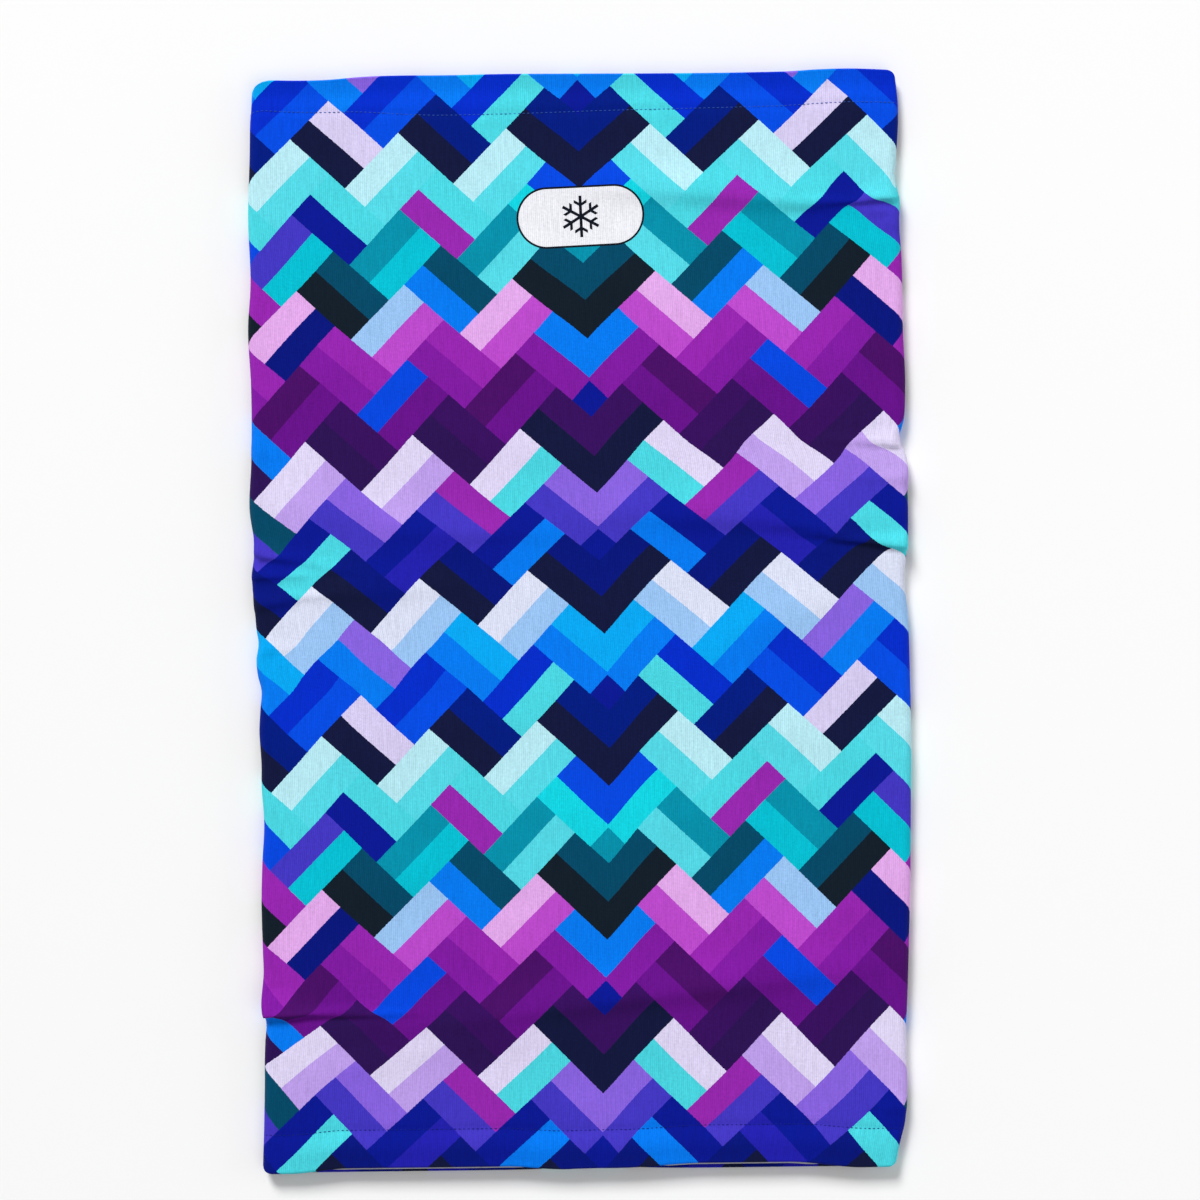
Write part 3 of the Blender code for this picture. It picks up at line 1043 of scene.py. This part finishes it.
def nose(s, y, depth):
    """Where the bottom hems part, takes the lining's rows 3 to 7 out past the front's edge."""
    path = [(2.3, 1.95), (-0.55, 2.0), (-0.6, 2.15), (-0.4, 2.33), (1.2, 2.35)]
    out = np.where(np.abs(s) < FOLD_S, np.clip(parting(s) / (1.8 * MM), 0, 1), 0)
    for row, (inset, deep) in enumerate(path, 3):
        y[:, row] += out[:, row] * (inset * MM - HALF_LENGTH - y[:, row])
        depth[:, row] += out[:, row] * (deep * MM - depth[:, row])


def build_lining():
    stitch = HALF_LENGTH - 14 * MM
    fine = [(-stitch, 3 * MM, 1.0 * MM), (stitch, 3 * MM, 1.0 * MM)]
    rows = rows_of(lining_hem(), 2.7 * MM, LINING_DEPTH, 3.0 * MM, fine)
    columns = columns_of(3.0 * MM, 3.4 * MM)
    s, y = np.meshgrid(columns, rows[:, 0], indexing="ij")
    depth = np.broadcast_to(rows[:, 1], s.shape).copy()
    nose(s, y, depth)
    points = place(s, y, depth, wrinkled=False)
    # The topstitching and the back seam pull it towards the shell
    dip = 0.4 * MM * hill(s, LINING_SEAM_S, 1.5 * MM)
    for top in (False, True):
        dip += 0.4 * MM * hill(y, stitch_line(s, top), 1.5 * MM)
    outward = np.where(np.abs(s) < FOLD_S, 1.0, -1.0)
    points[..., 2] += dip * outward * (np.abs(np.abs(s) - FOLD_S) > SEAM_GAP)
    lining = grid("lining_fleece", points, s, y, BRUSHED, flip=True)
    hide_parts("lining")
    return lining


lining = build_lining()


# ----------------------------------------
# Threads: every stitch is a short float of thread that dives into the cloth at both ends

HEM_PITCH = 1.65 * MM
EDGE_PITCH = 2.5 * MM
BACK_PITCH = 2.4 * MM
STITCH_ARCH = 0.12 * MM
SIDES, RINGS = 6, 5


def outward_of(s, y):
    """Outward direction of the shell at points."""
    n = place(s, y, 0.0, wrinkled=False) - place(s, y, 0.5 * MM, wrinkled=False)
    return n / np.linalg.norm(n, axis=1, keepdims=True)


def stitch_faces(count):
    """Quads and end caps of that many stitches, each of RINGS rings of SIDES points."""
    quads = []
    for r in range(RINGS - 1):
        for k in range(SIDES):
            n = (k + 1) % SIDES
            low, high = r * SIDES, (r + 1) * SIDES
            quads.append([low + k, high + k, high + n, low + n])
    base = (np.arange(count) * RINGS * SIDES)[:, None]
    quads = (np.array(quads)[None] + base[..., None]).reshape(-1, 4)
    first = np.arange(SIDES)
    last = first[::-1] + (RINGS - 1) * SIDES
    caps = (np.stack([first, last])[None] + base[..., None]).reshape(-1, SIDES)
    return quads, caps


def stitches(name, node, starts, ends, up, radius, material):
    """One piece of stitches between point pairs, arched along up."""
    along = ends - starts
    length = np.linalg.norm(along, axis=1, keepdims=True)
    along = along / length
    side_way = np.cross(along, up)
    side_way /= np.linalg.norm(side_way, axis=1, keepdims=True)
    lift_way = np.cross(side_way, along)
    points = np.zeros((len(starts), RINGS, SIDES, 3))
    cloth = np.zeros((len(starts), RINGS, SIDES, 2))
    for r, t in enumerate(np.linspace(0, 1, RINGS)):
        bow = math.sin(math.pi * t)
        thick = radius * (0.45 + 0.55 * bow**0.5)
        middle = starts + (ends - starts) * t + lift_way * (STITCH_ARCH * (bow - 0.8))
        for k in range(SIDES):
            a = 2 * math.pi * k / SIDES
            points[:, r, k] = middle + thick * (math.cos(a) * side_way + math.sin(a) * lift_way)
            cloth[:, r, k, 0] = t * length[:, 0]
            cloth[:, r, k, 1] = k / SIDES * 2 * math.pi * radius
    quads, caps = stitch_faces(len(starts))
    loops = np.concatenate([quads.ravel(), caps.ravel()])
    uv = cloth.reshape(-1, 2)[loops]
    piece = make(name, points.reshape(-1, 3), quads.tolist() + caps.tolist(), uv, material)
    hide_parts(node)


def hem_row(name, node, top, inside, material):
    """A row of topstitching right round the tube: needle thread outside, bobbin thread inside."""
    s = -HALF_ROUND + HEM_PITCH * np.arange(int(2 * HALF_ROUND / HEM_PITCH))
    ends = s + HEM_PITCH * 0.6
    # The thread lies near the bottom of its dip, and in the face itself at the side folds
    face = LINING_DEPTH if inside else 0.0
    sunk = -0.35 * MM if inside else STITCH_DIP - 0.08 * MM
    depth = np.where(np.abs(np.abs(s) - FOLD_S) < SEAM_GAP, face, face + sunk)
    start, end = (place(q, stitch_line(q, top), depth, wrinkled=False) for q in (s, ends))
    up = outward_of(s, stitch_line(s, top)) * (-1 if inside else 1)
    stitches(name, node, start, end, up, 0.13 * MM, material)


hem_row("top_hem_needle_stitches", "top_hem_needle_thread", True, False, BLUE)
# The bottom hem's thread is the blue thread painted darker as shade
hem_row("bottom_hem_needle_stitches", "bottom_hem_needle_thread", False, False, SHADED_BLUE)
hem_row("top_hem_bobbin_stitches", "top_hem_bobbin_thread", True, True, GREY)
hem_row("bottom_hem_bobbin_stitches", "bottom_hem_bobbin_thread", False, True, GREY)


def edge_row(name, node, top):
    """The hidden seam that joins shell and lining inside the hem's roll."""
    s = -HALF_ROUND + EDGE_PITCH * np.arange(int(2 * HALF_ROUND / EDGE_PITCH))
    y = np.full_like(s, toward(top) * (HALF_LENGTH - 3.4 * MM))
    start, end = (place(q, y, 1.22 * MM, wrinkled=False) for q in (s, s + EDGE_PITCH * 0.8))
    stitches(name, node, start, end, outward_of(s, y), 0.14 * MM, GREY)


edge_row("top_edge_stitches", "top_edge_seam_thread", True)
edge_row("bottom_edge_stitches", "bottom_edge_seam_thread", False)


def back_row(name, node, s_at, depth, material):
    """A seam along the tube's back."""
    y = np.arange(-HALF_LENGTH + 17 * MM, HALF_LENGTH - 17 * MM, BACK_PITCH)
    s = np.full_like(y, s_at)
    start, end = (place(s, q, depth, wrinkled=False) for q in (y, y + 0.8 * BACK_PITCH))
    stitches(name, node, start, end, outward_of(s, y), 0.15 * MM, material)


AT_SEAM = HALF_ROUND - 0.001 * MM
UNDER_LINING = LINING_DEPTH - 0.5 * MM
back_row("shell_seam_stitches", "shell_seam_thread", AT_SEAM, 0.75 * MM, BLUE)
back_row("lining_seam_stitches", "lining_seam_thread", LINING_SEAM_S, UNDER_LINING, GREY)


# ----------------------------------------
# The blank care label, a ribbon folded in half in the lining's seam


def build_label():
    low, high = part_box("care_label")
    width, reach = high.y - low.y, high.x - low.x
    columns, rows = 40, 14
    u = np.linspace(0, 1, columns)
    x = np.where(u < 0.5, 2 * u, 2 - 2 * u) * reach
    y = np.linspace(-width / 2, width / 2, rows)
    # The upper half lies over the lower one, and the fold stands a little higher than the seam
    lift = np.where(u < 0.5, 0.12, 0.12 + 0.75 * smooth(u, 0.46, 0.56)) * MM
    lift = lift + 0.5 * MM * smooth(x, 0.35 * reach, reach)
    points = np.zeros((columns, rows, 3))
    points[..., 0] = low.x + x[:, None]
    points[..., 1] = (low.y + high.y) / 2 + y[None]
    points[..., 2] = LINING_DEPTH + 0.1 * MM + lift[:, None] + 0.2 * MM * hill(y, 0, width / 3)[None]
    across, along = np.meshgrid(u * 2 * reach, y, indexing="ij")
    label = grid("care_label_ribbon", points, across, along, RIBBON)
    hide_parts("care_label")
    return label


label = build_label()
